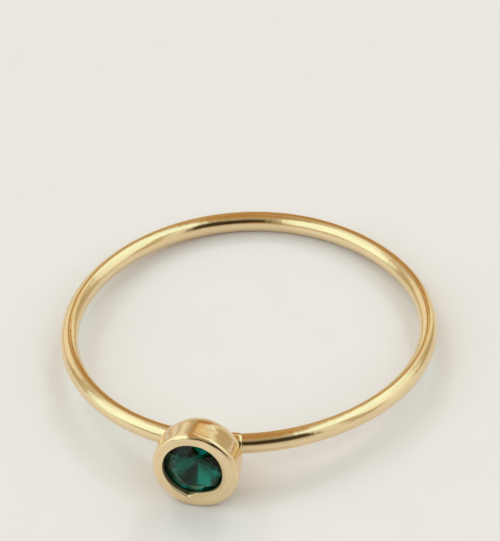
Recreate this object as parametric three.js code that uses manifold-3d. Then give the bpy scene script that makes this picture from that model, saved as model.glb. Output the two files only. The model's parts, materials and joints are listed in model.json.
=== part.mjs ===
// A thin finger ring: a round-wire band with one round stone in a rubbed-over bezel cup.
// Millimetres, +Z up. The ring lies on its side, as it rests by itself: the cup and the back of the
// band touch the surface z = 0, and the origin is at the bottom centre of the ring's box.
// The ring itself is modelled about its own centre, with its axis on Z and the stone facing -Y,
// and the group that holds it is then tilted and lifted into the resting place.

import * as THREE from "three";
import { ConvexGeometry } from "three/addons/geometries/ConvexGeometry.js";
import { mergeVertices } from "three/addons/utils/BufferGeometryUtils.js";
import Module from "manifold-3d";

// ---- Driving dimensions ----

// Band
const FINGER_HOLE_DIAMETER = 14.9;
const BAND_THICKNESS = 0.8; // across the wire, towards the finger
const BAND_HEIGHT = 0.92; // along the finger
// The band is bent by hand, so its radius waves a little: waves in a turn, swing, place of a high point.
const BAND_WAVES = [
  { waves: 3, swing: 0.055, highDegrees: -2 },
  { waves: 4, swing: 0.022, highDegrees: 6 },
];

// Stone
const STONE_DIAMETER = 3;
const TABLE_SHARE = 0.53; // of the stone's diameter
const CROWN_DEGREES = 34;
const PAVILION_DEGREES = 25.5;
const GIRDLE_HEIGHT = 0.08;
const CULET_RADIUS = 0.04;
const STAR_REACH = 0.5; // how far a star facet reaches from the table to the girdle
const LOWER_HALF_REACH = 0.78; // how far a lower girdle facet reaches from the girdle to the culet
const STONE_TURN_DEGREES = 25;

// Bezel cup, with distances measured out from the ring's centre
const CUP_BACK = 7.38;
const CUP_BACK_RADIUS = 0.8;
const CUP_SHOULDER = 8.45;
const CUP_SHOULDER_RADIUS = 1.85;
const SHOULDER_EASE = 0.35; // how far each side of the shoulder its edge is eased
const CUP_BELLY_RADIUS = 1.93;
const RIM_FRONT = 9.93;
const RIM_EDGE_ROUND = 0.22;
const OPENING_RADIUS = 1.38;
const LIP_BREAK = 0.08; // of the opening's front edge
const TABLE_DEPTH = 0; // of the table below the rim's front
const SEAT_GAP = 0.05; // between the stone and the metal
const LIP_LIFT = 0.16; // from the top of the girdle up to the lip that holds it

// Solder collars, where the wire runs into the cup: the side, where the collar starts and ends
// sideways from the cup's axis, and how much larger than the wire its bead is.
const COLLARS = [
  { side: -1, start: 0.9, end: 1.55, flare: 0.14 },
  { side: 1, start: 0.9, end: 1.6, flare: 0.16 },
];

// Smoothness
const BAND_STEPS = 112;
const WIRE_SIDES = 16;
const CUP_SIDES = 64;
const COLLAR_SIDES = 24;
const CURVE_STEPS = 4;
const BEAD_STEPS = 4;

// ---- Worked out from them ----

const BAND_RADIUS = (FINGER_HOLE_DIAMETER + BAND_THICKNESS) / 2;
const STONE_RADIUS = STONE_DIAMETER / 2;
const TABLE_RADIUS = STONE_RADIUS * TABLE_SHARE;
const CROWN_SLOPE = Math.tan(THREE.MathUtils.degToRad(CROWN_DEGREES));
const PAVILION_SLOPE = Math.tan(THREE.MathUtils.degToRad(PAVILION_DEGREES));
const CROWN_HEIGHT = CROWN_SLOPE * (STONE_RADIUS - TABLE_RADIUS);
const PAVILION_HEIGHT = PAVILION_SLOPE * (STONE_RADIUS - CULET_RADIUS);
const STONE_GIRDLE = RIM_FRONT - TABLE_DEPTH - CROWN_HEIGHT; // top of the girdle
const GIRDLE_BACK = STONE_GIRDLE - GIRDLE_HEIGHT;
const WALL_START = CUP_SHOULDER + SHOULDER_EASE;
const CUP_BELLY = RIM_FRONT - RIM_EDGE_ROUND;
const COLLAR_END_SHARE = 0.97; // of the wire's size, so that the collar ends inside it
const FACET_PAIRS = 8;
const FACET_STEP = (2 * Math.PI) / FACET_PAIRS;

// ---- Shapes ----

const wasm = await Module();
wasm.setup();

// A geometry's closed mesh as a solid that can be joined and cut.
function solid(geometry) {
  geometry.deleteAttribute("normal");
  geometry.deleteAttribute("uv");
  const merged = mergeVertices(geometry);
  return new wasm.Manifold(
    new wasm.Mesh({
      numProp: 3,
      vertProperties: merged.attributes.position.array,
      triVerts: new Uint32Array(merged.index.array),
    }),
  );
}

function geometryOf(body) {
  const { vertProperties, triVerts } = body.getMesh();
  const geometry = new THREE.BufferGeometry();
  geometry.setAttribute("position", new THREE.BufferAttribute(vertProperties, 3));
  geometry.setIndex(new THREE.BufferAttribute(triVerts, 1));
  const flat = geometry.toNonIndexed();
  flat.computeVertexNormals();
  return flat;
}

// The band's middle radius at an angle counted from +X towards +Y.
function bandRadiusAt(angle) {
  let radius = BAND_RADIUS;
  for (const { waves, swing, highDegrees } of BAND_WAVES) {
    radius += swing * Math.cos(waves * (angle - THREE.MathUtils.degToRad(highDegrees)));
  }
  return radius;
}

// A ring of oval wire: a plain torus with a section of radius 1, reshaped point by point.
function bandGeometry() {
  const geometry = new THREE.TorusGeometry(BAND_RADIUS, 1, WIRE_SIDES, BAND_STEPS);
  const places = geometry.attributes.position;
  for (let i = 0; i < places.count; i++) {
    const angle = Math.atan2(places.getY(i), places.getX(i));
    const across = Math.hypot(places.getX(i), places.getY(i)) - BAND_RADIUS;
    const radius = bandRadiusAt(angle) + (across * BAND_THICKNESS) / 2;
    const height = (places.getZ(i) * BAND_HEIGHT) / 2;
    places.setXYZ(i, radius * Math.cos(angle), radius * Math.sin(angle), height);
  }
  return geometry;
}

// The cup's outer radius at a distance from the ring's centre, along its nearly straight wall.
function wallRadiusAt(distance) {
  const share = (distance - CUP_SHOULDER) / (CUP_BELLY - CUP_SHOULDER);
  return THREE.MathUtils.lerp(CUP_SHOULDER_RADIUS, CUP_BELLY_RADIUS, share);
}

// A body turned about the cup's axis. The outline runs in radius and distance from the ring's centre.
function turnedOnCupAxis(outline) {
  const points = outline.getPoints(CURVE_STEPS);
  return new THREE.LatheGeometry(points, CUP_SIDES, Math.PI / CUP_SIDES).rotateX(Math.PI);
}

// The outside of the cup as a full body: flat back, cone, nearly straight wall and rounded rim.
function cupBody() {
  const outline = new THREE.Path().moveTo(0, CUP_BACK).lineTo(CUP_BACK_RADIUS, CUP_BACK);
  const cone = new THREE.Vector2(CUP_SHOULDER_RADIUS - CUP_BACK_RADIUS, CUP_SHOULDER - CUP_BACK);
  const ease = cone.setLength(SHOULDER_EASE);
  outline.lineTo(CUP_SHOULDER_RADIUS - ease.x, CUP_SHOULDER - ease.y);
  outline.quadraticCurveTo(CUP_SHOULDER_RADIUS, CUP_SHOULDER, wallRadiusAt(WALL_START), WALL_START);
  const rimCentre = CUP_BELLY_RADIUS - RIM_EDGE_ROUND;
  outline.absarc(rimCentre, CUP_BELLY, RIM_EDGE_ROUND, 0, Math.PI / 2);
  outline.lineTo(0, RIM_FRONT);
  return turnedOnCupAxis(outline);
}

// The room for the stone: a cone under the pavilion, a groove round the girdle, and the opening.
function stoneRoom() {
  const grooveRadius = STONE_RADIUS + SEAT_GAP;
  const tip = GIRDLE_BACK - PAVILION_HEIGHT - SEAT_GAP;
  const outline = new THREE.Path().moveTo(0, tip).lineTo(CULET_RADIUS + SEAT_GAP, tip);
  outline.lineTo(grooveRadius, GIRDLE_BACK - SEAT_GAP);
  outline.lineTo(grooveRadius, STONE_GIRDLE + SEAT_GAP);
  outline.lineTo(OPENING_RADIUS, STONE_GIRDLE + LIP_LIFT);
  outline.lineTo(OPENING_RADIUS, RIM_FRONT - LIP_BREAK);
  outline.lineTo(OPENING_RADIUS + 2 * LIP_BREAK, RIM_FRONT + LIP_BREAK);
  outline.lineTo(0, RIM_FRONT + LIP_BREAK);
  return turnedOnCupAxis(outline);
}

// A flat oval bead round the wire, which starts under the cup's skin and rounds off at its end.
function collarGeometry({ side, start, end, flare }) {
  const half = (end - start) / 2;
  const profile = [new THREE.Vector2(0, -half)];
  for (let step = 0; step <= BEAD_STEPS; step++) {
    const angle = ((step / BEAD_STEPS) * Math.PI) / 2;
    const share = COLLAR_END_SHARE + flare * Math.cos(angle);
    profile.push(new THREE.Vector2(share, half * (2 * Math.sin(angle) - 1)));
  }
  profile.push(new THREE.Vector2(0, half));
  const turn = Math.asin((start + end) / 2 / BAND_RADIUS);
  return new THREE.LatheGeometry(profile, COLLAR_SIDES)
    .scale(BAND_THICKNESS / 2, 1, BAND_HEIGHT / 2)
    .rotateZ(side * (turn - Math.PI / 2))
    .translate(side * BAND_RADIUS * Math.sin(turn), -BAND_RADIUS * Math.cos(turn), 0);
}

function bandAndBezel() {
  let metal = solid(bandGeometry()).add(solid(cupBody()));
  for (const collar of COLLARS) metal = metal.add(solid(collarGeometry(collar)));
  return geometryOf(metal.subtract(solid(stoneRoom())));
}

// A point of the stone at a number of facet steps round, with the stone's axis on Z.
function stonePoint(radius, steps, height) {
  const angle = steps * FACET_STEP;
  return new THREE.Vector3(radius * Math.cos(angle), radius * Math.sin(angle), height);
}

// A round brilliant cut. Its facets are the faces of the hull of these corners: table, star corners,
// top and bottom of the girdle, lower girdle corners and culet.
function stoneGeometry() {
  const corners = [];
  const halfStep = Math.cos(FACET_STEP / 2);
  const starRadius = THREE.MathUtils.lerp(TABLE_RADIUS, STONE_RADIUS, STAR_REACH);
  const starHeight = CROWN_SLOPE * (STONE_RADIUS - starRadius * halfStep);
  const lowerRadius = STONE_RADIUS * (1 - LOWER_HALF_REACH);
  const lowerDrop = GIRDLE_HEIGHT + PAVILION_SLOPE * (STONE_RADIUS - lowerRadius * halfStep);
  for (let facet = 0; facet < FACET_PAIRS; facet++) {
    corners.push(
      stonePoint(TABLE_RADIUS, facet, CROWN_HEIGHT),
      stonePoint(starRadius, facet + 0.5, starHeight),
      stonePoint(lowerRadius, facet + 0.5, -lowerDrop),
      stonePoint(CULET_RADIUS, facet, -GIRDLE_HEIGHT - PAVILION_HEIGHT),
    );
    for (const steps of [facet, facet + 0.5]) {
      corners.push(stonePoint(STONE_RADIUS, steps, 0), stonePoint(STONE_RADIUS, steps, -GIRDLE_HEIGHT));
    }
  }
  return new ConvexGeometry(corners)
    .rotateZ(THREE.MathUtils.degToRad(STONE_TURN_DEGREES))
    .rotateX(Math.PI / 2)
    .translate(0, -STONE_GIRDLE, 0);
}

// The tilt at which the cup and the back of the band touch the same surface. The cup touches it with
// one end of its wall, whichever lifts the front more.
function restTilt() {
  const flatSide = Math.cos(Math.PI / CUP_SIDES);
  const back = bandRadiusAt(Math.PI / 2);
  const tilts = [WALL_START, CUP_BELLY].map((distance) =>
    Math.atan2(wallRadiusAt(distance) * flatSide - BAND_HEIGHT / 2, distance + back),
  );
  return Math.max(...tilts);
}

// ---- The ring ----

const gold = new THREE.MeshStandardMaterial({ color: 0xd9b56e, roughness: 0.18, metalness: 1 });
const green = new THREE.MeshStandardMaterial({ color: 0x0b4a3a, roughness: 0.03, metalness: 0 });

function piece(name, geometry, material) {
  const mesh = new THREE.Mesh(geometry, material);
  mesh.name = name;
  return mesh;
}

const ring = new THREE.Group();
ring.add(piece("band_and_bezel", bandAndBezel(), gold));
ring.add(piece("stone", stoneGeometry(), green));
ring.rotation.x = -restTilt();
ring.updateMatrixWorld(true);

const box = new THREE.Box3().setFromObject(ring, true);
const middle = box.getCenter(new THREE.Vector3());
ring.position.set(-middle.x, -middle.y, -box.min.z);

const part = new THREE.Group();
part.add(ring);

export default part;
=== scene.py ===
"""A thin gold-coloured knuckle ring with a round green stone in a rubbed-over bezel cup.

The ring lies on its side on a pale surface, in soft studio light. Everything is in metres, in the
frame of the ring's construction model: +Z is up, and the stone faces -Y.
"""

import json
import math

import bmesh
import bpy
from bpy.props import FloatProperty, FloatVectorProperty, IntProperty, PointerProperty
from bpy.types import Operator, Panel, PropertyGroup
from mathutils import Matrix, Vector


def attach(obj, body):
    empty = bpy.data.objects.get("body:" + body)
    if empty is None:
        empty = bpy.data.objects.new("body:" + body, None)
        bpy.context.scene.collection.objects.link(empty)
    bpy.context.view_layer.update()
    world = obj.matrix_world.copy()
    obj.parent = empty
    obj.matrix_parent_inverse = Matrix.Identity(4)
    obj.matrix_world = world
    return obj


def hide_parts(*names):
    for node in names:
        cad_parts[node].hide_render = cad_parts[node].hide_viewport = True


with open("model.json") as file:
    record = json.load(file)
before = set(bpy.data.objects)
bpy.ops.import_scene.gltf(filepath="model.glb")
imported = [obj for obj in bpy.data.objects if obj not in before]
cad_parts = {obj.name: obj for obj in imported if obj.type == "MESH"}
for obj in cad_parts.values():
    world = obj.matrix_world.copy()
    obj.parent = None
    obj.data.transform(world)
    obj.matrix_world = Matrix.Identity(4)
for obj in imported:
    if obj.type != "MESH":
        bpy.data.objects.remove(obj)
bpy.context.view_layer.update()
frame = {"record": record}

bl_info = {
    "name": "Knuckle Ring",
    "version": (1, 0, 0),
    "blender": (4, 5, 0),
    "location": "3D View > Sidebar > Ring",
    "description": "Makes a gold-coloured knuckle ring with a green stone in a bezel cup",
    "category": "Add Mesh",
}

MM = 0.001
FULL_TURN = 2 * math.pi

# ---- The ring's own frame, from the construction model ----

MOUNTS = {mount["name"]: mount for mount in frame["record"]["mounts"]}
RING_CENTRE = Vector(MOUNTS["finger_hole"]["pos_m"])
RING_AXIS = Vector(MOUNTS["finger_hole"]["axis"]).normalized()
CUP_AXIS = -Vector(MOUNTS["cup_back"]["axis"]).normalized()
CUP_BACK = (Vector(MOUNTS["cup_back"]["pos_m"]) - RING_CENTRE).dot(CUP_AXIS)
FINGER_RADIUS = MOUNTS["finger_hole"]["dims"]["r_mm"] * MM
WIRE_HEIGHT = MOUNTS["finger_hole"]["dims"]["length_mm"] * MM


def frame_matrix(x_axis, y_axis, z_axis, place):
    """The matrix that takes a local frame to the ring's place."""
    turn = Matrix((x_axis, y_axis, z_axis)).transposed()
    return Matrix.Translation(place) @ turn.to_4x4()


# The band's frame: Z is the axis of the finger, and the cup is towards -Y.
BAND_FRAME = frame_matrix(RING_AXIS.cross(CUP_AXIS), -CUP_AXIS, RING_AXIS, RING_CENTRE)


# ---- Node trees ----


class Value:
    """A value on its way through a node tree. Sums and products add the Math nodes they need."""

    def __init__(self, net, socket):
        self.net = net
        self.socket = socket

    def __add__(self, other):
        return self.net.math("ADD", self, other)

    def __sub__(self, other):
        return self.net.math("SUBTRACT", self, other)

    def __rsub__(self, other):
        return self.net.math("SUBTRACT", other, self)

    def __mul__(self, other):
        return self.net.math("MULTIPLY", self, other)

    def __abs__(self):
        return self.net.math("ABSOLUTE", self)

    __radd__ = __add__
    __rmul__ = __mul__


class Net:
    """A node tree that is being written."""

    def __init__(self, tree):
        self.tree = tree
        tree.nodes.clear()

    def add(self, kind, settings=None, inputs=None, output=0):
        """Adds a node: first its settings, then the values or links of its sockets."""
        node = self.tree.nodes.new(kind)
        for name, value in (settings or {}).items():
            setattr(node, name, value)
        for name, value in (inputs or {}).items():
            if isinstance(value, Value):
                self.tree.links.new(value.socket, node.inputs[name])
            else:
                node.inputs[name].default_value = value
        return Value(self, node.outputs[output]) if node.outputs else None

    def math(self, operation, *values):
        """A Math node on numbers."""
        return self.add("ShaderNodeMath", {"operation": operation}, dict(enumerate(values)))

    def mix(self, share, first, second):
        """Mixes two colours."""
        colours = {0: share, 6: first, 7: second}
        return self.add("ShaderNodeMix", {"data_type": "RGBA"}, colours, output=2)

    def step(self, value, low, high, start=0.0, end=1.0):
        """A soft step from start, where value is low, to end, where it is high."""
        return self.add(
            "ShaderNodeMapRange",
            {"interpolation_type": "SMOOTHSTEP"},
            {"Value": value, "From Min": low, "From Max": high, "To Min": start, "To Max": end},
        )

    def millimetres(self, turn=(0, 0, 0), stretch=(1, 1, 1)):
        """The piece's own coordinates in millimetres, turned and stretched."""
        place = self.add("ShaderNodeTexCoord", output="Object")
        scale = [factor / MM for factor in stretch]
        inputs = {"Vector": place, "Rotation": turn, "Scale": scale}
        return self.add("ShaderNodeMapping", inputs=inputs)

    def noise(self, place, scale, detail=2.0):
        """Smooth random values round 0.5, with about this many waves to a unit of place."""
        return self.add(
            "ShaderNodeTexNoise", inputs={"Vector": place, "Scale": scale, "Detail": detail}
        )


def new_material(name):
    """A material and its empty node tree."""
    material = bpy.data.materials.new(name)
    material.use_nodes = True
    return material, Net(material.node_tree)


def finish_material(net, surface, body=None):
    """Gives a material its surface, and a clear one its body."""
    inputs = {"Surface": surface}
    if body:
        inputs["Volume"] = body
    net.add("ShaderNodeOutputMaterial", inputs=inputs)


def opaque(colour):
    """A colour with full cover, as a colour socket takes it."""
    return (*colour, 1.0)


# ---- Meshes ----

POLE_WELD = 0.001 * MM  # closes a turned body where its outline meets Z


def new_object(name, bm, material=None):
    """An object at the origin from a bmesh, which is freed."""
    mesh = bpy.data.meshes.new(name)
    bm.to_mesh(mesh)
    bm.free()
    made = bpy.data.objects.new(name, mesh)
    bpy.context.scene.collection.objects.link(made)
    if material:
        mesh.materials.append(material)
    return made


def spun(outline, steps):
    """A closed body turned about Z from an outline of (radius, height) from Z back to Z."""
    bm = bmesh.new()
    verts = [bm.verts.new((radius, 0, height)) for radius, height in outline]
    edges = [bm.edges.new(ends) for ends in zip(verts, verts[1:])]
    bmesh.ops.spin(
        bm,
        geom=verts + edges,
        axis=(0, 0, 1),
        cent=(0, 0, 0),
        angle=FULL_TURN,
        steps=steps,
        use_merge=True,
    )
    bmesh.ops.remove_doubles(bm, verts=bm.verts, dist=POLE_WELD)
    bmesh.ops.recalc_face_normals(bm, faces=bm.faces)
    return bm


def round_edges_at(bm, radius, height, width, segments):
    """Bevels the round edge of a turned body that lies at this radius and height."""
    close = 0.002 * MM
    ring = [
        edge
        for edge in bm.edges
        if all(
            abs(vert.co.xy.length - radius) < close and abs(vert.co.z - height) < close
            for vert in edge.verts
        )
    ]
    bmesh.ops.bevel(
        bm,
        geom=ring,
        offset=width,
        offset_type="OFFSET",
        affect="EDGES",
        segments=segments,
        profile=0.5,
        material=-1,
        clamp_overlap=True,
    )


def joined(name, first, others, operation):
    """The first bmesh joined with, or cut by, the others, as one bmesh."""
    target = new_object(name, first)
    tools = [new_object(name + "_tool", other) for other in others]
    for tool in tools:
        modifier = target.modifiers.new("join", "BOOLEAN")
        modifier.operation = operation
        modifier.solver = "EXACT"
        modifier.object = tool
    whole = bmesh.new()
    whole.from_object(target, bpy.context.evaluated_depsgraph_get())
    for made in [target, *tools]:
        bpy.data.objects.remove(made)
    return whole


def smooth_shading(piece, crease_degrees):
    """Shades a piece smooth, apart from its edges that are sharper than the crease angle."""
    piece.data.shade_smooth()
    piece.data.set_sharp_from_angle(angle=math.radians(crease_degrees))


def place_piece(piece, slot, *nodes):
    """Hands a finished piece to the frame."""
    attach(piece, "root")
    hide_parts(*nodes)


# ---- Settings ----


def length(name, description, millimetres):
    """A setting that is a length."""
    return FloatProperty(
        name=name,
        description=description,
        default=millimetres * MM,
        unit="LENGTH",
        subtype="DISTANCE",
    )


def angle(name, description, degrees):
    """A setting that is an angle."""
    turn = math.radians(degrees)
    return FloatProperty(name=name, description=description, default=turn, subtype="ANGLE")


def colour(name, description, value):
    """A setting that is a colour."""
    return FloatVectorProperty(
        name=name, description=description, default=value, subtype="COLOR", size=3
    )


def share(name, description, value):
    """A setting that is a share, from 0 to 1."""
    return FloatProperty(
        name=name, description=description, default=value, min=0, max=1, subtype="FACTOR"
    )


class BandSettings(PropertyGroup):
    """The wire band."""

    thickness: length("Thickness", "The wire's size across, towards the finger", 0.8)
    swing: length("Swing", "How far the hand-bent band waves in and out", 0.055)
    steps: IntProperty(name="Steps", description="Sections round the band", default=448)
    sides: IntProperty(name="Sides", description="Sides of the wire's oval section", default=48)


class CupSettings(PropertyGroup):
    """The bezel cup, with distances measured out from the ring's centre."""

    back_radius: length("Back radius", "Radius of the flat back", 0.8)
    shoulder: length("Shoulder", "Distance of the edge between cone and wall", 8.45)
    shoulder_radius: length("Shoulder radius", "Radius of that edge", 1.85)
    shoulder_ease: length("Shoulder ease", "How far that edge is eased", 0.4)
    belly_radius: length("Belly radius", "Largest radius, behind the rim", 1.93)
    rim_front: length("Rim front", "Distance of the rim's front", 9.93)
    rim_round: length("Rim round", "Radius of the rim's outer edge", 0.22)
    dish: angle("Dish", "How far the rim's face slopes in towards the stone", 5)
    opening_radius: length("Opening radius", "Radius of the opening that shows the stone", 1.38)
    lip_round: length("Lip round", "Radius of the opening's burnished edge", 0.14)
    steps: IntProperty(name="Steps", description="Sections round the cup", default=288)


class StoneSettings(PropertyGroup):
    """The round faceted stone."""

    diameter: length("Diameter", "Across the girdle", 3.0)
    table_share: share("Table", "Width of the table as a share of the diameter", 0.53)
    crown: angle("Crown", "Slope of the crown's main facets", 34)
    pavilion: angle("Pavilion", "Slope of the pavilion's main facets", 25.5)
    girdle: length("Girdle", "Height of the girdle", 0.08)
    turn: angle("Turn", "Turn of the stone in its cup", 25)
    table_depth: length("Table depth", "Depth of the table below the rim's front", 0.0)
    tint: colour("Tint", "Tint of its skin", (0.85, 0.8, 1.0))
    body: colour("Body", "Colour that its body leaves in passing light", (0.0, 0.82, 0.775))
    density: FloatProperty(
        name="Density", description="How strongly its body colours the light", default=3200
    )


class GoldSettings(PropertyGroup):
    """The polished gold finish."""

    colour: colour("Colour", "Colour of the reflection, seen straight on", (0.90, 0.70, 0.435))
    roughness: share("Roughness", "Roughness of the polish", 0.14)
    wall_roughness: share("Opening roughness", "How much rougher the opening's wall is left", 0.42)


class StageSettings(PropertyGroup):
    """The surface, the light and the camera."""

    floor_colour: colour("Surface", "Colour of the surface", (0.845, 0.808, 0.850))
    lamps: FloatProperty(
        name="Lamps", description="Strength of the lamps over the surface", default=1.0
    )
    azimuth: angle("Azimuth", "Camera's turn round the ring from straight in front", 16.34)
    elevation: angle("Elevation", "Camera's height above the horizon", 42.11)
    roll: angle("Roll", "Lean of the camera to its right", 4.79)
    distance: length("Distance", "From the camera to what it looks at", 238.34)
    lens: FloatProperty(name="Lens", description="Focal length in millimetres", default=357.64)


# ---- Band and bezel ----

# How the hand-bent band's radius waves: waves in a turn, share of the swing, place of a high point,
# counted from +X towards +Y in the band's frame.
BAND_WAVES = [
    {"waves": 3, "share": 1.0, "high_degrees": -2},
    {"waves": 4, "share": 0.4, "high_degrees": 6},
]

# Small clearances and roundings that a user has no need to change
SEAT_GAP = 0.05 * MM  # between the stone and the metal
LIP_LIFT = 0.16 * MM  # from the top of the girdle up to the lip that holds it
BACK_ROUND = 0.07 * MM  # of the edge of the cup's flat back
BEVEL_ROOM = 1.05  # how far other corners keep from a bevelled edge, as a share of the bevel
RIM_BEVEL = 0.98  # of the rim's radius, so that its bevel ends before the next corner
FACE_END = 0.8  # of the opening's radius, where the rim's face ends inside the stone's room
CUTTER_REACH = 0.1 * MM  # how far the stone's room is cut in front of the rim
LIP_SPAN = 1.2  # how much of the opening's wall the rounded lip takes up, in its radii
LIP_CLIMB = 1.3  # how much steeper than the crown the lip's inner edge climbs as it reaches in
COLLAR_END = 0.985  # of the wire's size, so that a collar ends inside the wire
COLLAR_STEPS = 64  # sections round a collar
CREASE_DEGREES = 35  # edges sharper than this stay sharp in the shading
SLIVER = 0.00005 * MM  # edges shorter than this are leftovers of joining and cutting

# Where the opening's wall is left less polished, in millimetres. It sets in between these depths
# behind the rim's front, and ends between these distances outside the opening's radius.
ROUGH_WALL_DEPTHS = (0.63, 0.48)
ROUGH_WALL_ENDS = (-0.02, 0.08)

# Solder collars, where the wire runs into the cup: the side, where the collar starts and ends
# sideways from the cup's axis, and how much larger than the wire its bead is.
COLLARS = [
    {"side": -1, "start": 0.9 * MM, "end": 1.55 * MM, "flare": 0.14},
    {"side": 1, "start": 0.9 * MM, "end": 1.6 * MM, "flare": 0.16},
]

# Dents that the setting tool left in the cup: the turn of each one from the cup's right, seen from
# in front, its radius and distance along the cup's profile, its reach round the cup and along the
# profile, and its depth. Turns are in degrees, and the rest is in millimetres.
DENTS = [
    {"turn": 128, "radius": 1.9, "distance": 9.2, "around": 0.75, "along": 1.2, "depth": 0.06},
    {"turn": 76, "radius": 1.92, "distance": 9.7, "around": 0.42, "along": 0.6, "depth": 0.055},
    {"turn": 68, "radius": 1.9, "distance": 9.02, "around": 0.22, "along": 0.11, "depth": 0.03},
    {"turn": 49, "radius": 1.9, "distance": 9.2, "around": 0.42, "along": 0.7, "depth": 0.05},
    {"turn": 180, "radius": 1.93, "distance": 9.8, "around": 1.2, "along": 0.6, "depth": 0.09},
    {"turn": 108, "radius": 1.88, "distance": 9.88, "around": 0.16, "along": 0.12, "depth": 0.025},
    {"turn": 89, "radius": 1.88, "distance": 9.88, "around": 0.2, "along": 0.14, "depth": 0.018},
    {"turn": 60, "radius": 1.88, "distance": 9.88, "around": 0.3, "along": 0.1, "depth": 0.012},
    {"turn": 105, "radius": 1.42, "distance": 9.93, "around": 0.8, "along": 0.2, "depth": 0.03},
    {"turn": 155, "radius": 1.6, "distance": 9.93, "around": 0.5, "along": 0.2, "depth": 0.03},
    {"turn": 215, "radius": 1.75, "distance": 9.93, "around": 0.4, "along": 0.2, "depth": 0.03},
    {"turn": 325, "radius": 1.8, "distance": 9.93, "around": 0.3, "along": 0.15, "depth": 0.03},
    {"turn": 350, "radius": 1.72, "distance": 9.93, "around": 0.1, "along": 0.1, "depth": 0.03},
]

# How the opening's hand-rubbed edge runs out of round: the turn of each place where it reaches in
# over the stone, how wide that place is in degrees, and how far it reaches in, in millimetres.
LIP_REACHES = [
    {"turn": 0, "spread": 55, "reach": 0.17},
    {"turn": 284, "spread": 26, "reach": 0.17},
    {"turn": 272, "spread": 6, "reach": 0.04},
    {"turn": 256, "spread": 8, "reach": -0.07},
]


def band_wave(turn, swing):
    """How far the band stands out of round at an angle in its frame."""
    out = 0
    for wave in BAND_WAVES:
        past_high = turn - math.radians(wave["high_degrees"])
        out += swing * wave["share"] * math.cos(wave["waves"] * past_high)
    return out


def band_mesh(band):
    """The ring of oval wire, in the band's frame."""
    radius = FINGER_RADIUS + band.thickness / 2
    bm = bmesh.new()
    section = bmesh.ops.create_circle(bm, segments=band.sides, radius=1)["verts"]
    oval = Matrix.Diagonal((band.thickness / 2, WIRE_HEIGHT / 2, 1, 1))
    upright = Matrix.Rotation(math.pi / 2, 4, "X")
    place = Matrix.Translation((radius, 0, 0))
    bmesh.ops.transform(bm, verts=section, matrix=place @ upright @ oval)
    bmesh.ops.spin(
        bm,
        geom=bm.verts[:] + bm.edges[:],
        axis=(0, 0, 1),
        cent=(0, 0, 0),
        angle=FULL_TURN,
        steps=band.steps,
        use_merge=True,
    )
    for vert in bm.verts:
        turn = math.atan2(vert.co.y, vert.co.x)
        vert.co.xy += band_wave(turn, band.swing) * Vector((math.cos(turn), math.sin(turn)))
    bmesh.ops.recalc_face_normals(bm, faces=bm.faces)
    return bm


def cup_frame():
    """Takes a body turned about Z, with heights from the ring's centre, to the band's frame."""
    return Matrix.Rotation(math.pi / 2, 4, "X")


def line_points(first, last, steps):
    """Points along a straight piece of an outline, with both ends."""
    return [Vector(first).lerp(last, step / steps) for step in range(steps + 1)]


def bell(distance):
    """A smooth hump, 1 in the middle."""
    return math.exp(-(distance**2))


def turn_from(degrees, vert):
    """How far round Z a vertex is from a turn, in radians up to half a turn."""
    off = math.atan2(vert.co.y, vert.co.x) - math.radians(degrees)
    return math.remainder(off, FULL_TURN)


def press_dents(bm):
    """Presses the setting tool's dents into the cup's skin."""
    bm.normal_update()
    for vert in bm.verts:
        depth = 0
        for dent in DENTS:
            around = dent["radius"] * turn_from(dent["turn"], vert)
            off_radius = vert.co.xy.length / MM - dent["radius"]
            off_distance = vert.co.z / MM - dent["distance"]
            along = math.hypot(off_radius, off_distance)
            share_around, share_along = bell(around / dent["around"]), bell(along / dent["along"])
            depth += dent["depth"] * MM * share_around * share_along
        vert.co -= depth * vert.normal


def cup_mesh(cup):
    """The cup's outside as a full body: flat back, cone, nearly straight wall and rounded rim."""
    shoulder = Vector((cup.shoulder_radius, cup.shoulder))
    belly = Vector((cup.belly_radius, cup.rim_front - cup.rim_round))
    wall_start = shoulder.lerp(belly, BEVEL_ROOM * cup.shoulder_ease / (belly - shoulder).length)
    face_start = Vector((cup.belly_radius - BEVEL_ROOM * cup.rim_round, cup.rim_front))
    face_width = face_start.x - FACE_END * cup.opening_radius
    face_end = face_start - Vector((face_width, math.tan(cup.dish) * face_width))
    outline = [
        (0, CUP_BACK),
        (cup.back_radius, CUP_BACK),
        shoulder,
        *line_points(wall_start, belly, 16),
        (cup.belly_radius, cup.rim_front),
        *line_points(face_start, face_end, 12),
        (0, face_end.y),
    ]
    bm = spun(outline, cup.steps)
    round_edges_at(bm, cup.belly_radius, cup.rim_front, cup.rim_round * RIM_BEVEL, 10)
    round_edges_at(bm, cup.shoulder_radius, cup.shoulder, cup.shoulder_ease, 12)
    round_edges_at(bm, cup.back_radius, CUP_BACK, BACK_ROUND, 3)
    press_dents(bm)
    bmesh.ops.transform(bm, verts=bm.verts, matrix=cup_frame())
    return bm


def stone_heights(cup, stone):
    """Distances of the girdle's top and bottom from the ring's centre, and the pavilion's depth."""
    radius = stone.diameter / 2
    crown_height = math.tan(stone.crown) * radius * (1 - stone.table_share)
    top = cup.rim_front - stone.table_depth - crown_height
    return top, top - stone.girdle, math.tan(stone.pavilion) * radius


def lip_reach(vert):
    """How far the opening's edge reaches in over the stone at a vertex."""
    return sum(
        lip["reach"] * MM * bell(math.degrees(turn_from(lip["turn"], vert)) / lip["spread"])
        for lip in LIP_REACHES
    )


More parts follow.
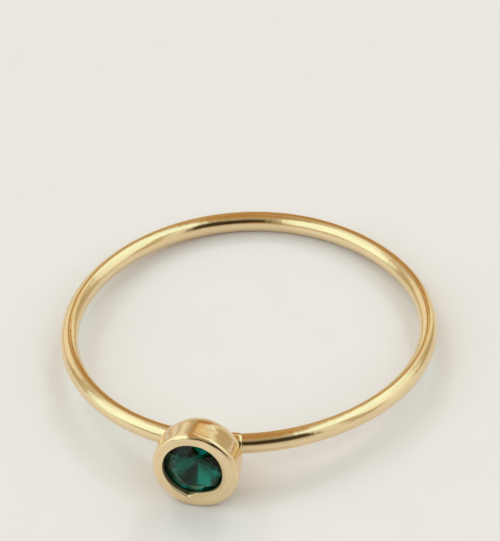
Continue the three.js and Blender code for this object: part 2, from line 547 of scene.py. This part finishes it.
def stone_room_mesh(cup, stone):
    """The stone's room: a cone under the pavilion, a groove round the girdle, and the opening."""
    top, bottom, depth = stone_heights(cup, stone)
    groove = stone.diameter / 2 + SEAT_GAP
    over = cup.rim_front + CUTTER_REACH
    outline = [
        (0, bottom - depth - SEAT_GAP),
        (SEAT_GAP, bottom - depth - SEAT_GAP),
        (groove, bottom - SEAT_GAP),
        (groove, top + SEAT_GAP),
        (cup.opening_radius, top + LIP_LIFT),
    ]
    arc_steps = 8
    for step in range(arc_steps + 1):
        lean = step / arc_steps * math.pi / 2
        out, down = cup.lip_round * (1 - math.cos(lean)), cup.lip_round * (1 - math.sin(lean))
        outline.append((cup.opening_radius + out, cup.rim_front - down))
    outline += [(outline[-1][0], over), (0, over)]
    bm = spun(outline, cup.steps)
    for vert in bm.verts:
        if vert.co.z > top + LIP_LIFT / 2 and vert.co.xy.length > 0:
            reach = lip_reach(vert)
            vert.co.xy -= reach * vert.co.xy.normalized()
            if vert.co.z < cup.rim_front - LIP_SPAN * cup.lip_round:
                vert.co.z += LIP_CLIMB * math.tan(stone.crown) * reach
    bmesh.ops.transform(bm, verts=bm.verts, matrix=cup_frame())
    return bm


def collar_mesh(band, collar):
    """A bead of solder round the wire, from under the cup's skin to its rounded end."""
    radius = FINGER_RADIUS + band.thickness / 2
    half = (collar["end"] - collar["start"]) / 2
    arc_steps = 12
    outline = [(0, -half)]
    for step in range(arc_steps + 1):
        lean = step / arc_steps * math.pi / 2
        size = COLLAR_END + collar["flare"] * math.cos(lean)
        outline.append((size, half * (2 * math.sin(lean) - 1)))
    outline.append((0, half))
    bm = spun(outline, COLLAR_STEPS)
    turn = math.asin((collar["start"] + collar["end"]) / 2 / radius)
    side = collar["side"]
    place = Matrix.Translation((side * radius * math.sin(turn), -radius * math.cos(turn), 0))
    # The bead's own Z runs along the wire, away from the cup.
    along = Matrix.Rotation(side * (turn - math.pi / 2), 4, "Z")
    lie = along @ Matrix.Rotation(-math.pi / 2, 4, "X")
    oval = Matrix.Diagonal((band.thickness / 2, WIRE_HEIGHT / 2, 1, 1))
    bmesh.ops.transform(bm, verts=bm.verts, matrix=place @ lie @ oval)
    return bm


def opening_wall(net, cup):
    """1 on the wall of the cup's opening, and 0 elsewhere.

    The distances are in millimetres in the band's frame: forward from the ring's centre, and across
    from the cup's axis.
    """
    to_band = BAND_FRAME.inverted()
    place = net.add(
        "ShaderNodeMapping",
        inputs={
            "Vector": net.add("ShaderNodeTexCoord", output="Object"),
            "Location": to_band.translation / MM,
            "Rotation": to_band.to_euler(),
            "Scale": (1 / MM, 1 / MM, 1 / MM),
        },
    )
    forward = net.add("ShaderNodeSeparateXYZ", inputs={"Vector": place}, output="Y") * -1
    across = net.add("ShaderNodeVectorMath", {"operation": "MULTIPLY"}, {0: place, 1: (1, 0, 1)})
    radius = net.add("ShaderNodeVectorMath", {"operation": "LENGTH"}, {0: across}, output="Value")
    low, high = (cup.rim_front / MM - depth for depth in ROUGH_WALL_DEPTHS)
    inner, outer = (cup.opening_radius / MM + end for end in ROUGH_WALL_ENDS)
    return net.step(forward, low, high) * net.step(radius, inner, outer, 1.0, 0.0)


def gold_material(gold, cup):
    """Polished gold plating, faintly uneven and scratched, and rougher in the cup's opening."""
    material, net = new_material("polished_gold")
    place = net.millimetres()
    tone = net.noise(place, 0.6)
    base = net.mix(
        net.step(tone, 0.35, 0.65),
        opaque(gold.colour),
        opaque([c * 0.96 for c in gold.colour]),
    )
    scratches = net.noise(net.millimetres(turn=(0.3, 0.5, 0.9), stretch=(14, 1.2, 1.2)), 2.0, 3.0)
    smears = net.noise(place, 1.7, 3.0)
    wall = opening_wall(net, cup)
    roughness = gold.roughness + (smears - 0.5) * 0.08 + wall * gold.wall_roughness
    unevenness = net.noise(place, 1.6)
    height = unevenness + scratches * 0.03
    normal = net.add(
        "ShaderNodeBump", inputs={"Strength": 0.35, "Distance": 0.035 * MM, "Height": height}
    )
    shader = net.add(
        "ShaderNodeBsdfPrincipled",
        inputs={"Base Color": base, "Metallic": 1.0, "Roughness": roughness, "Normal": normal},
    )
    finish_material(net, shader)
    return material


class RING_OT_band_and_bezel(Operator):
    """Make the wire band and the bezel cup, soldered together"""

    bl_idname = "knuckle_ring.band_and_bezel"
    bl_label = "Band and Bezel"

    def execute(self, context):
        scene = context.scene
        band, cup, stone = scene.ring_band, scene.ring_cup, scene.ring_stone
        parts = [cup_mesh(cup), *(collar_mesh(band, collar) for collar in COLLARS)]
        metal = joined("metal", band_mesh(band), parts, "UNION")
        metal = joined("metal", metal, [stone_room_mesh(cup, stone)], "DIFFERENCE")
        bmesh.ops.remove_doubles(metal, verts=metal.verts, dist=SLIVER)
        bmesh.ops.dissolve_degenerate(metal, edges=metal.edges, dist=SLIVER)
        bmesh.ops.transform(metal, verts=metal.verts, matrix=BAND_FRAME)
        piece = new_object("gold_band_and_bezel", metal, gold_material(scene.ring_gold, cup))
        smooth_shading(piece, CREASE_DEGREES)
        place_piece(piece, "gold", "band_and_bezel")
        return {"FINISHED"}


# ---- Stone ----

FACET_PAIRS = 8
LOWER_FACETS_MEET = 0.22  # of the radius, where the lower girdle facets end
CULET_RADIUS = 0.02 * MM
FACET_EDGE = 0.006 * MM  # width of the polished-off edge between facets
SAME_FACET = math.radians(0.5)  # triangles that differ by less are one facet


def stone_mesh(cup, stone):
    """A round brilliant cut, as the hull of its corners, in the band's frame."""
    step = FULL_TURN / FACET_PAIRS
    radius = stone.diameter / 2
    table = radius * stone.table_share
    top, bottom, depth = stone_heights(cup, stone)
    star_radius = (table + radius) / 2
    lower_radius = radius * LOWER_FACETS_MEET
    # How far in from the girdle these corners are, along the main facets beside them
    star_run = radius - star_radius * math.cos(step / 2)
    lower_run = radius - lower_radius * math.cos(step / 2)
    crown_slope, pavilion_slope = math.tan(stone.crown), math.tan(stone.pavilion)
    # Each ring of corners: its radius, its turn in steps, and its height
    rings = [
        (table, 0.0, top + crown_slope * (radius - table)),
        (star_radius, 0.5, top + crown_slope * star_run),
        (radius, 0.0, top),
        (radius, 0.5, top),
        (radius, 0.0, bottom),
        (radius, 0.5, bottom),
        (lower_radius, 0.5, bottom - pavilion_slope * lower_run),
        (CULET_RADIUS, 0.0, bottom - depth),
    ]
    bm = bmesh.new()
    for ring_radius, offset, height in rings:
        for facet in range(FACET_PAIRS):
            turn = (facet + offset) * step + stone.turn
            bm.verts.new((ring_radius * math.cos(turn), ring_radius * math.sin(turn), height))
    bmesh.ops.convex_hull(bm, input=bm.verts)
    bmesh.ops.dissolve_limit(bm, angle_limit=SAME_FACET, verts=bm.verts, edges=bm.edges)
    bmesh.ops.bevel(
        bm,
        geom=bm.edges,
        offset=FACET_EDGE,
        offset_type="OFFSET",
        affect="EDGES",
        segments=1,
        profile=0.5,
        material=-1,
        clamp_overlap=True,
    )
    bmesh.ops.recalc_face_normals(bm, faces=bm.faces)
    bmesh.ops.transform(bm, verts=bm.verts, matrix=cup_frame())
    return bm


def stone_material(stone):
    """Clear dark green glass that colours the light on its way, with a faintly uneven tint."""
    material, net = new_material("green_glass")
    cloud = net.noise(net.millimetres(), 0.9, 2.0)
    base = net.mix(
        net.step(cloud, 0.35, 0.65),
        opaque(stone.tint),
        opaque([c * 0.92 for c in stone.tint]),
    )
    shader = net.add(
        "ShaderNodeBsdfPrincipled",
        inputs={
            "Base Color": base,
            "Roughness": 0.0,
            "IOR": 1.47,
            "Specular Tint": (0.6, 0.6, 0.6, 1.0),
            "Transmission Weight": 1.0,
        },
    )
    body = net.add(
        "ShaderNodeVolumeAbsorption", inputs={"Color": opaque(stone.body), "Density": stone.density}
    )
    finish_material(net, shader, body)
    return material


class RING_OT_stone(Operator):
    """Make the round faceted stone"""

    bl_idname = "knuckle_ring.stone"
    bl_label = "Stone"

    def execute(self, context):
        scene = context.scene
        bm = stone_mesh(scene.ring_cup, scene.ring_stone)
        bmesh.ops.transform(bm, verts=bm.verts, matrix=BAND_FRAME)
        piece = new_object("faceted_stone", bm, stone_material(scene.ring_stone))
        place_piece(piece, "green_stone", "stone")
        return {"FINISHED"}


# ---- Stage ----

# The light round the ring, as soft panels on the sky: where each is in degrees (clockwise from +Y,
# seen from above, and above the horizon), how soft its edges are, and the light that comes from it.
# A window also faces a way: its head is as high as given there, and lower to both sides, as on a
# flat wall. A later panel covers an earlier one.
SKY_BASE = (0.54, 0.46, 0.30)
PANELS = [
    # Warm ceiling, and warm dark wall straight behind
    {"azimuth": (-180, 180), "elevation": (71, 100), "edge": 5, "light": (0.49, 0.30, 0.12)},
    {"azimuth": (-21, 12), "elevation": (28, 100), "edge": 4, "light": (0.46, 0.26, 0.09)},
    {"azimuth": (-15, 12), "elevation": (-10, 30), "edge": 4, "light": (0.46, 0.26, 0.09)},
    {"azimuth": (-12, 16), "elevation": (31, 50), "edge": 4, "light": (0.84, 0.66, 0.40)},
    # Left window, and its far end
    {
        "azimuth": (-164, -93),
        "elevation": (-4, 67),
        "facing": -105,
        "edge": 5,
        "light": (1.10, 1.34, 1.25),
    },
    {"azimuth": (-100, -84), "elevation": (17, 64), "edge": 6, "light": (1.10, 1.32, 1.22)},
    {"azimuth": (-92, -74), "elevation": (36, 60), "edge": 5, "light": (1.08, 1.25, 1.15)},
    {"azimuth": (-90, -42), "elevation": (46, 62), "edge": 6, "light": (1.02, 1.12, 1.00)},
    # What stands under the left window
    {"azimuth": (-172, -126), "elevation": (-8, 13), "edge": 7, "light": (0.58, 0.52, 0.35)},
    {"azimuth": (-165, -115), "elevation": (-8, 5), "edge": 3, "light": (0.38, 0.31, 0.18)},
    # Right window, and what shows of it lower down, on both sides of a post
    {
        "azimuth": (-4, 129),
        "elevation": (41, 73.5),
        "facing": 70,
        "edge": 5,
        "light": (1.06, 1.32, 1.24),
    },
    {"azimuth": (50, 98), "elevation": (18, 45), "edge": 6, "light": (1.05, 1.22, 1.10)},
    {"azimuth": (36, 60), "elevation": (29, 45), "edge": 6, "light": (1.00, 1.08, 0.98)},
    {"azimuth": (62, 90), "elevation": (-5, 24), "edge": 7, "light": (0.95, 1.00, 0.90)},
    {"azimuth": (111, 128), "elevation": (2, 45), "edge": 4, "light": (0.86, 0.88, 0.80)},
    # Pale walls behind the ring
    {"azimuth": (-66, -28), "elevation": (6, 38), "edge": 5, "light": (0.92, 0.90, 0.76)},
    {"azimuth": (9, 24), "elevation": (5, 38), "edge": 5, "light": (0.92, 0.93, 0.76)},
    # Dark camera side
    {"azimuth": (129, 190), "elevation": (-6, 62), "edge": 4, "light": (0.37, 0.34, 0.24)},
    {"azimuth": (128, 183), "elevation": (9, 44), "edge": 3, "light": (0.05, 0.035, 0.02)},
]

# Lamps for the surface alone, which polished metal doesn't mirror: where each is, in degrees as
# above, its width in metres and its power in watts.
LAMPS = [
    {"name": "key_soft", "azimuth": -45, "elevation": 62, "width": 0.45, "watts": 0.28},
    {"name": "key_core", "azimuth": -45, "elevation": 45, "width": 0.12, "watts": 0.19},
    {"name": "back", "azimuth": 15, "elevation": 45, "width": 0.12, "watts": 0.25},
    {"name": "right", "azimuth": 135, "elevation": 35, "width": 0.3, "watts": 0.30},
    {"name": "front", "azimuth": 180, "elevation": 55, "width": 0.3, "watts": 0.31},
]
LAMP_DISTANCE = 0.6  # metres
LOOK_AT = Vector((-0.840, 4.681, 1.1195)) * MM  # a point inside the band, for the camera
FLOOR_REACH = 3  # metres from the ring to the surface's sides


def towards(azimuth_degrees, elevation_degrees):
    """The direction of a place on the sky."""
    azimuth, elevation = math.radians(azimuth_degrees), math.radians(elevation_degrees)
    level = math.cos(elevation)
    return Vector((math.sin(azimuth) * level, math.cos(azimuth) * level, math.sin(elevation)))


def panel_mask(net, panel, x, y, z):
    """How much of a panel shows in the direction (x, y, z)."""
    start, end = panel["azimuth"]
    low, high = panel["elevation"]
    edge = panel["edge"]
    azimuth = net.math("DEGREES", net.math("ARCTAN2", x, y))
    elevation = net.math("DEGREES", net.math("ARCSINE", z))
    off_middle = abs(net.math("WRAP", azimuth - (start + end) / 2, -180, 180))
    across = net.step(off_middle, (end - start) / 2 - edge, (end - start) / 2 + edge, 1.0, 0.0)
    head = elevation
    if "facing" in panel:
        wall = towards(panel["facing"], 0)
        head = net.math("DEGREES", net.math("ARCTAN2", z, x * wall.x + y * wall.y))
    bottom = net.step(elevation, low - edge, low + edge)
    top = net.step(head, high - edge, high + edge, 1.0, 0.0)
    return across * bottom * top


def sky_light(world):
    """Soft panels all round, by direction."""
    net = Net(world.node_tree)
    direction = net.add("ShaderNodeTexCoord", output="Generated")
    split = net.add("ShaderNodeSeparateXYZ", inputs={"Vector": direction})
    outputs = split.socket.node.outputs
    x, y, z = (Value(net, outputs[axis]) for axis in range(3))
    light = opaque(SKY_BASE)
    for panel in PANELS:
        light = net.mix(panel_mask(net, panel, x, y, z), light, opaque(panel["light"]))
    background = net.add("ShaderNodeBackground", inputs={"Color": light, "Strength": 1.0})
    net.add("ShaderNodeOutputWorld", inputs={"Surface": background})


def floor_material(stage):
    """Smooth pale card, faintly uneven in tone."""
    material, net = new_material("pale_card")
    place = net.millimetres()
    tone = net.noise(place, 0.35, 3.0)
    base = net.mix(
        net.step(tone, 0.3, 0.7),
        opaque(stage.floor_colour),
        opaque([c * 0.985 for c in stage.floor_colour]),
    )
    shader = net.add(
        "ShaderNodeBsdfPrincipled",
        inputs={"Base Color": base, "Roughness": 0.35, "Specular IOR Level": 0.5},
    )
    finish_material(net, shader)
    return material


def add_camera(stage):
    """The camera looks at a point inside the band, from in front, to the right and above."""
    back = towards(180 - math.degrees(stage.azimuth), math.degrees(stage.elevation))
    lean = Matrix.Rotation(-stage.roll, 4, "Z")
    level = back.to_track_quat("Z", "Y").to_matrix().to_4x4()
    data = bpy.data.cameras.new("camera")
    data.lens = stage.lens
    data.sensor_width = 36
    data.clip_start, data.clip_end = 0.01, 10
    camera = bpy.data.objects.new("camera", data)
    camera.matrix_world = Matrix.Translation(LOOK_AT + back * stage.distance) @ level @ lean
    bpy.context.scene.collection.objects.link(camera)
    bpy.context.scene.camera = camera


def add_floor(stage):
    """The surface that the ring lies on."""
    bm = bmesh.new()
    bmesh.ops.create_grid(bm, x_segments=1, y_segments=1, size=FLOOR_REACH)
    floor = new_object("floor", bm, floor_material(stage))


def add_lamp(lamp, strength):
    """A round soft lamp that looks at the ring."""
    back = towards(lamp["azimuth"], lamp["elevation"])
    data = bpy.data.lights.new(lamp["name"], "AREA")
    data.shape = "DISK"
    data.size = lamp["width"]
    data.energy = lamp["watts"] * strength
    light = bpy.data.objects.new(lamp["name"], data)
    turn = back.to_track_quat("Z", "Y").to_matrix().to_4x4()
    light.matrix_world = Matrix.Translation(back * LAMP_DISTANCE) @ turn
    light.visible_camera = False
    light.visible_glossy = False
    light.visible_transmission = False
    bpy.context.scene.collection.objects.link(light)


class RING_OT_stage(Operator):
    """Make the surface, the light and the camera"""

    bl_idname = "knuckle_ring.stage"
    bl_label = "Stage"

    def execute(self, context):
        scene = context.scene
        scene.view_settings.view_transform = "Standard"
        add_camera(scene.ring_stage)
        add_floor(scene.ring_stage)
        for lamp in LAMPS:
            add_lamp(lamp, scene.ring_stage.lamps)
        scene.world = bpy.data.worlds.new("studio")
        scene.world.use_nodes = True
        sky_light(scene.world)
        return {"FINISHED"}


class RING_PT_maker(Panel):
    """Lists what the ring is made of"""

    bl_label = "Knuckle Ring"
    bl_idname = "RING_PT_maker"
    bl_space_type = "VIEW_3D"
    bl_region_type = "UI"
    bl_category = "Ring"

    def draw(self, context):
        for maker in MAKERS:
            self.layout.operator(maker.bl_idname)


MAKERS = (RING_OT_stage, RING_OT_band_and_bezel, RING_OT_stone)
SETTINGS = {
    "ring_band": BandSettings,
    "ring_cup": CupSettings,
    "ring_stone": StoneSettings,
    "ring_gold": GoldSettings,
    "ring_stage": StageSettings,
}


def register():
    """Makes the settings, the operators and the panel known."""
    for made in (*SETTINGS.values(), *MAKERS, RING_PT_maker):
        bpy.utils.register_class(made)
    for name, group in SETTINGS.items():
        setattr(bpy.types.Scene, name, PointerProperty(type=group))


def unregister():
    """Takes away what register added."""
    for name in SETTINGS:
        delattr(bpy.types.Scene, name)
    for made in reversed((*SETTINGS.values(), *MAKERS, RING_PT_maker)):
        bpy.utils.unregister_class(made)


def main():
    """Makes the stage and the ring."""
    register()
    bpy.ops.knuckle_ring.stage()
    bpy.ops.knuckle_ring.band_and_bezel()
    bpy.ops.knuckle_ring.stone()


if __name__ == "__main__":
    main()
